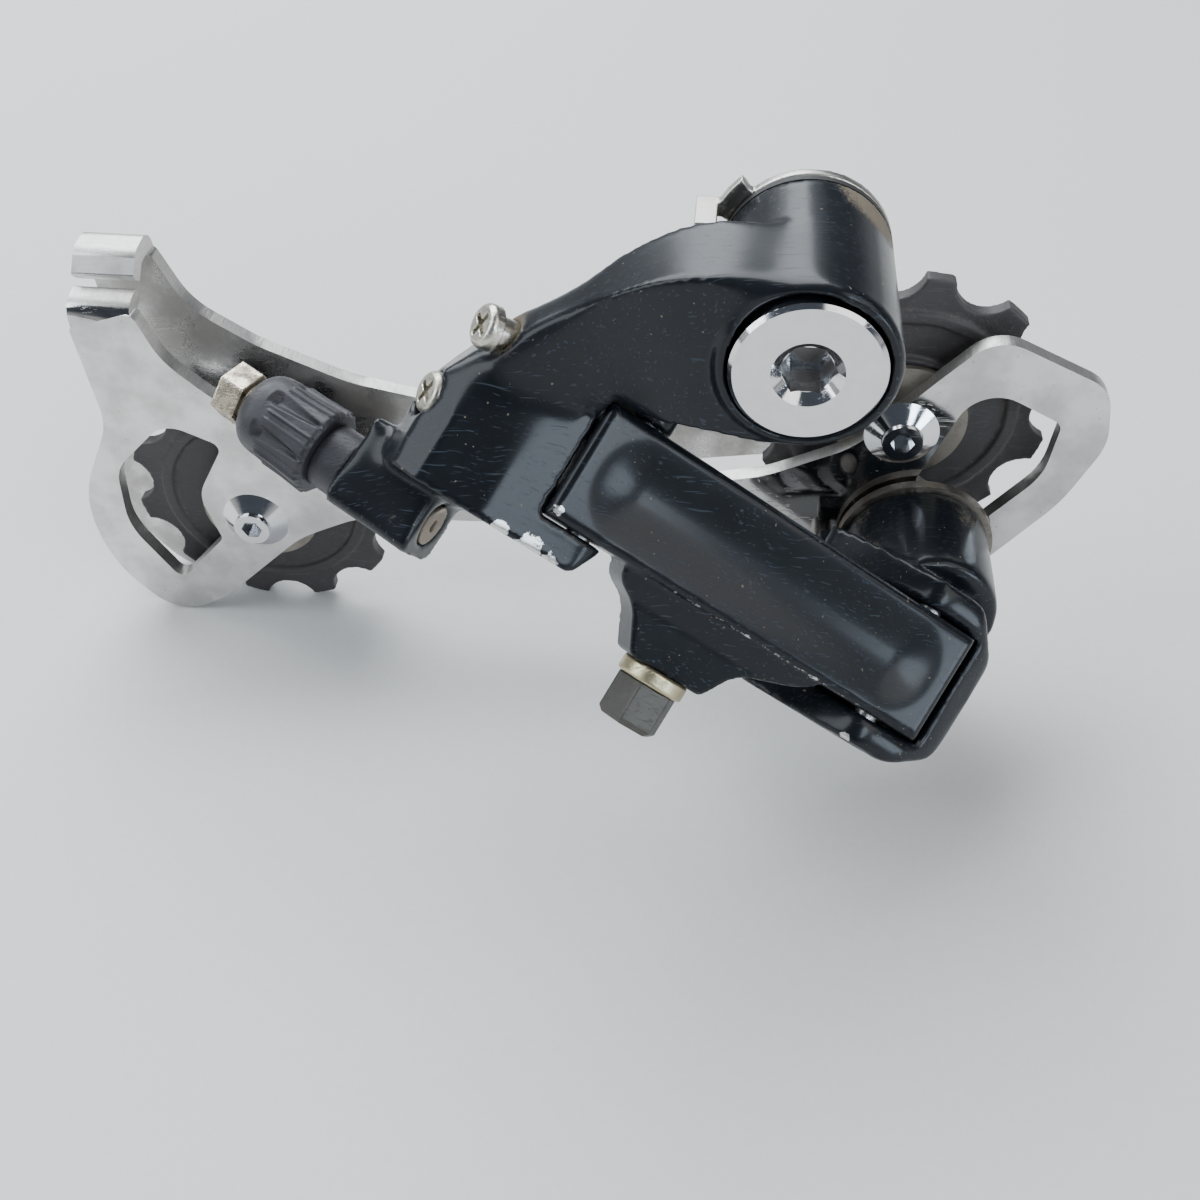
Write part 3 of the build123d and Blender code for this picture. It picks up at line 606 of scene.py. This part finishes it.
satin_paint = black_paint("inner_link_paint", [])
dress(smoothed("inner_link", 0.34, 6), "inner_link", satin_paint, "inner_link_pressing")

lower_voxel = 0.36
lower_knuckle = even_mesh("p_knuckle", lower_voxel)
points, ends = read_points(lower_knuckle.data)
points = relax(points, ends, 22)
cast_points = points
casting_normals = np.empty(len(points) * 3)
lower_knuckle.data.vertices.foreach_get("normal", casting_normals)
for corner, reach in ((link_place(link_length + 5, -12, -1), 15), (link_place(link_length + 4, 11, -1), 13)):
    points = soften_round(points, ends, corner, reach, 1.5, 70)
# The rounding only takes metal away, so the knuckle stays clear of the link as that swings
growth = ((points - cast_points) * casting_normals.reshape(-1, 3)).sum(1)
points = np.where(growth[:, None] > 0, cast_points, points)
write_points(lower_knuckle.data, points, ends, lower_voxel)
lower_paint = black_paint(
    "lower_knuckle_black_paint",
    [(link_place(56, -12.5, 0), 1.7), (link_place(47, -12.6, 2), 1.3), (link_place(44, 12, 3), 1.6)],
)
dress(lower_knuckle, "p_knuckle", lower_paint, "lower_knuckle_casting")

cap_steel = metal("greasy_cap_steel", tone(0.34, 0.31, 0.27), 0.34, tone(0.13, 0.105, 0.08), 0.18, 0.8, 1.2)
finish_nodes(cap_steel, "p_dust_cover", "guide_dust_caps", "tension_dust_caps")

# ---------------------------------------------------------------- cage plates
# Both plates are stamped from sheet steel and chromed: the faces are mirrors with fine scratches and
# the sheared edges stay dull. They are held by the axle, which turns in the lower knuckle.


def cage_chrome(name, inner_side):
    """Chromed sheet steel, with dull sheared edges and road grease on the side towards the chain."""
    material, shader, place = new_finish(name, {"IOR": 2.4})
    facing = place.put("ShaderNodeTexCoord", {}, {}, "Normal")
    cloud = place.noise(140.0, 4.0)
    grain = place.noise(3600.0, 3.0)
    scuff = scratches(place, 0.68)
    torn = place.put("ShaderNodeMapping", {}, {"Vector": place, "Scale": (1.0, 0.12, 1.0)}).noise(4200.0, 3.0)
    edge = facing.dot((0, 1, 0)).size().over(0.80, 0.55)
    fleck = place.noise(1700.0, 1.0).over(0.75, 0.78)
    inside = facing.dot((0, inner_side, 0)).over(0.5, 0.8)
    dirt = (cloud * 0.7 + grain * 0.3 + edge * 0.10 + inside * 0.16).over(0.60, 0.78)
    face_tone = cloud.over(0.35, 0.65).tint(tone(0.70, 0.69, 0.68), tone(0.50, 0.49, 0.48))
    edge_tone = (torn * 0.7 + grain * 0.3).tint(tone(0.30, 0.29, 0.27), tone(0.72, 0.71, 0.68))
    plated = edge.tint(face_tone, edge_tone)
    soiled = (dirt * 0.35).greater(fleck * 0.5).tint(plated, tone(0.22, 0.18, 0.14))
    feed(
        shader,
        Base_Color=soiled,
        Metallic=1 - (dirt * 0.3).greater(fleck * 0.6),
        Roughness=0.05 + edge * 0.34 + scuff * 0.10 + cloud * 0.05 + dirt * 0.12 + inside * 0.20,
        Normal=(scuff * -0.12 + cloud * 0.5 + edge * torn * 1.6).bump(0.00003),
    )
    return material


def rolled_plate(node, roll):
    """A node's shape with its sharp edges rolled over, as a stamping leaves them."""
    shell = bpy.data.meshes.new(node + "_stamping")
    sheet = bmesh.new()
    sheet.from_mesh(frame["nodes"][node].data)
    bmesh.ops.remove_doubles(sheet, verts=sheet.verts, dist=2e-6)
    bmesh.ops.dissolve_limit(sheet, angle_limit=math.radians(0.5), verts=sheet.verts, edges=sheet.edges)
    sheet.to_mesh(shell)
    sheet.free()
    piece = bpy.data.objects.new(node + "_stamping", shell)
    bpy.context.scene.collection.objects.link(piece)
    edge = piece.modifiers.new("rolled_edge", "BEVEL")
    edge.width = roll * MM
    edge.segments = 3
    edge.limit_method = "ANGLE"
    edge.angle_limit = math.radians(50)
    edge.harden_normals = True
    rolled = bpy.data.meshes.new_from_object(piece.evaluated_get(bpy.context.evaluated_depsgraph_get()))
    piece.modifiers.clear()
    piece.data = rolled
    bpy.data.meshes.remove(shell)
    rolled.materials.clear()
    return piece


edge_roll = 0.28
for node, inner_side in (("outer_cage_plate", 1.0), ("inner_cage_plate", -1.0)):
    dress(rolled_plate(node, edge_roll), node, cage_chrome(node + "_chrome", inner_side), node + "_stamping")
finish_nodes(zinc, "p_axle", "cage_stop_pin")

# ---------------------------------------------------------------- pulleys
# Both pulleys are moulded in dark resin, worn and grey with dust along the teeth. Each turns on a
# steel bush between two pressed caps, and a chromed bolt with a hexagon socket clamps the stack.

pulley_resin = moulded(
    "pulley_resin", tone(0.022, 0.020, 0.022), tone(0.085, 0.078, 0.078), 0.46, 0.02, tone(0.17, 0.145, 0.115)
)
for name in ("guide", "tension"):
    wheel = name + "_pulley"
    dress(smoothed(wheel, 0.3, 7), wheel, pulley_resin, wheel + "_moulding")
    finish_nodes(pin_steel, wheel + "_bush")
    finish_nodes(bolt_chrome, wheel + "_bolt")

# ---------------------------------------------------------------- floor, light and camera
# A plain pale floor under the lowest point, three soft panels of daylight, two small lamps on the
# link, a plain room round them, and the camera.

floor_half = 3.0
floor_mesh = bpy.data.meshes.new("floor")
floor_corners = [
    (x * floor_half, y * floor_half, cad_box[0][2]) for x, y in ((-1, -1), (1, -1), (1, 1), (-1, 1))
]
floor_mesh.from_pydata(floor_corners, [], [(0, 1, 2, 3)])
floor = bpy.data.objects.new("floor", floor_mesh)
bpy.context.scene.collection.objects.link(floor)
floor_finish, floor_shader, floor_place = new_finish("pale_floor", {"IOR": 1.4})
weave = floor_place.noise(900.0, 3.0)
feed(
    floor_shader,
    Base_Color=weave.tint(tone(0.70, 0.69, 0.67), tone(0.76, 0.75, 0.73)),
    Roughness=0.62 + weave * 0.1,
)
floor_mesh.materials.append(floor_finish)


def panel(name, place, target, width, height, power, colour):
    """A soft light panel, facing a point."""
    light = bpy.data.lights.new(name, "AREA")
    light.shape = "RECTANGLE"
    light.size, light.size_y = width, height
    light.energy = power
    light.color = colour
    lamp = bpy.data.objects.new(name, light)
    lamp.location = place
    lamp.rotation_euler = (Vector(target) - Vector(place)).to_track_quat("-Z", "Y").to_euler()
    bpy.context.scene.collection.objects.link(lamp)


middle = (-0.03, 0.0, -0.04)
panel("window", (-0.40, 0.62, 0.80), middle, 1.2, 0.9, 26.0, (0.90, 0.95, 1.0))
panel("left_strip", (-0.85, -0.25, 0.55), middle, 0.5, 0.9, 7.0, (0.86, 0.93, 1.0))
panel("right_fill", (0.75, -0.45, 0.85), middle, 0.9, 0.9, 6.0, (1.0, 0.97, 0.94))

# Two small lamps catch the ends of the link's dish
link_middle = (upper_pin + lower_pin) / 2
for name, way in (("left_glint", Vector((0.79, -0.60, 0.15))), ("right_glint", Vector((0.43, -0.72, 0.55)))):
    panel(name, link_middle + way * 0.7, link_middle, 0.20, 0.20, 1.3, (0.74, 0.87, 1.0))

# The walls are pale low down, and dimmer above the height of the panels
world = bpy.data.worlds.new("room")
world.use_nodes = True
room_tree = world.node_tree
room_way = Wire(room_tree.nodes.new("ShaderNodeTexCoord").outputs["Generated"])
height_in_room = room_way.dot((0.0, 0.0, 1.0)).over(0.02, 0.27)
sky = height_in_room.tint(tone(0.70, 0.71, 0.72), tone(0.10, 0.115, 0.14))
room_tree.links.new(sky.socket, room_tree.nodes["Background"].inputs["Color"])
room_tree.nodes["Background"].inputs["Strength"].default_value = 0.75
bpy.context.scene.world = world

camera_place = Vector((-0.0111, -0.156, 0.0873))
camera = bpy.data.objects.new("camera", bpy.data.cameras.new("camera"))
camera.data.sensor_width = 36.0
camera.data.lens = 39.72
camera.data.clip_start = 0.01
right = Vector((0.9951, 0.0993, 0.0))
camera_up = Vector((-0.0695, 0.6962, 0.7145))
looking = Vector((-0.0710, 0.7109, -0.6997))
camera_turn = Matrix((right, camera_up, -looking)).transposed().to_4x4()
camera.matrix_world = Matrix.Translation(camera_place) @ camera_turn
bpy.context.scene.collection.objects.link(camera)
bpy.context.scene.camera = camera
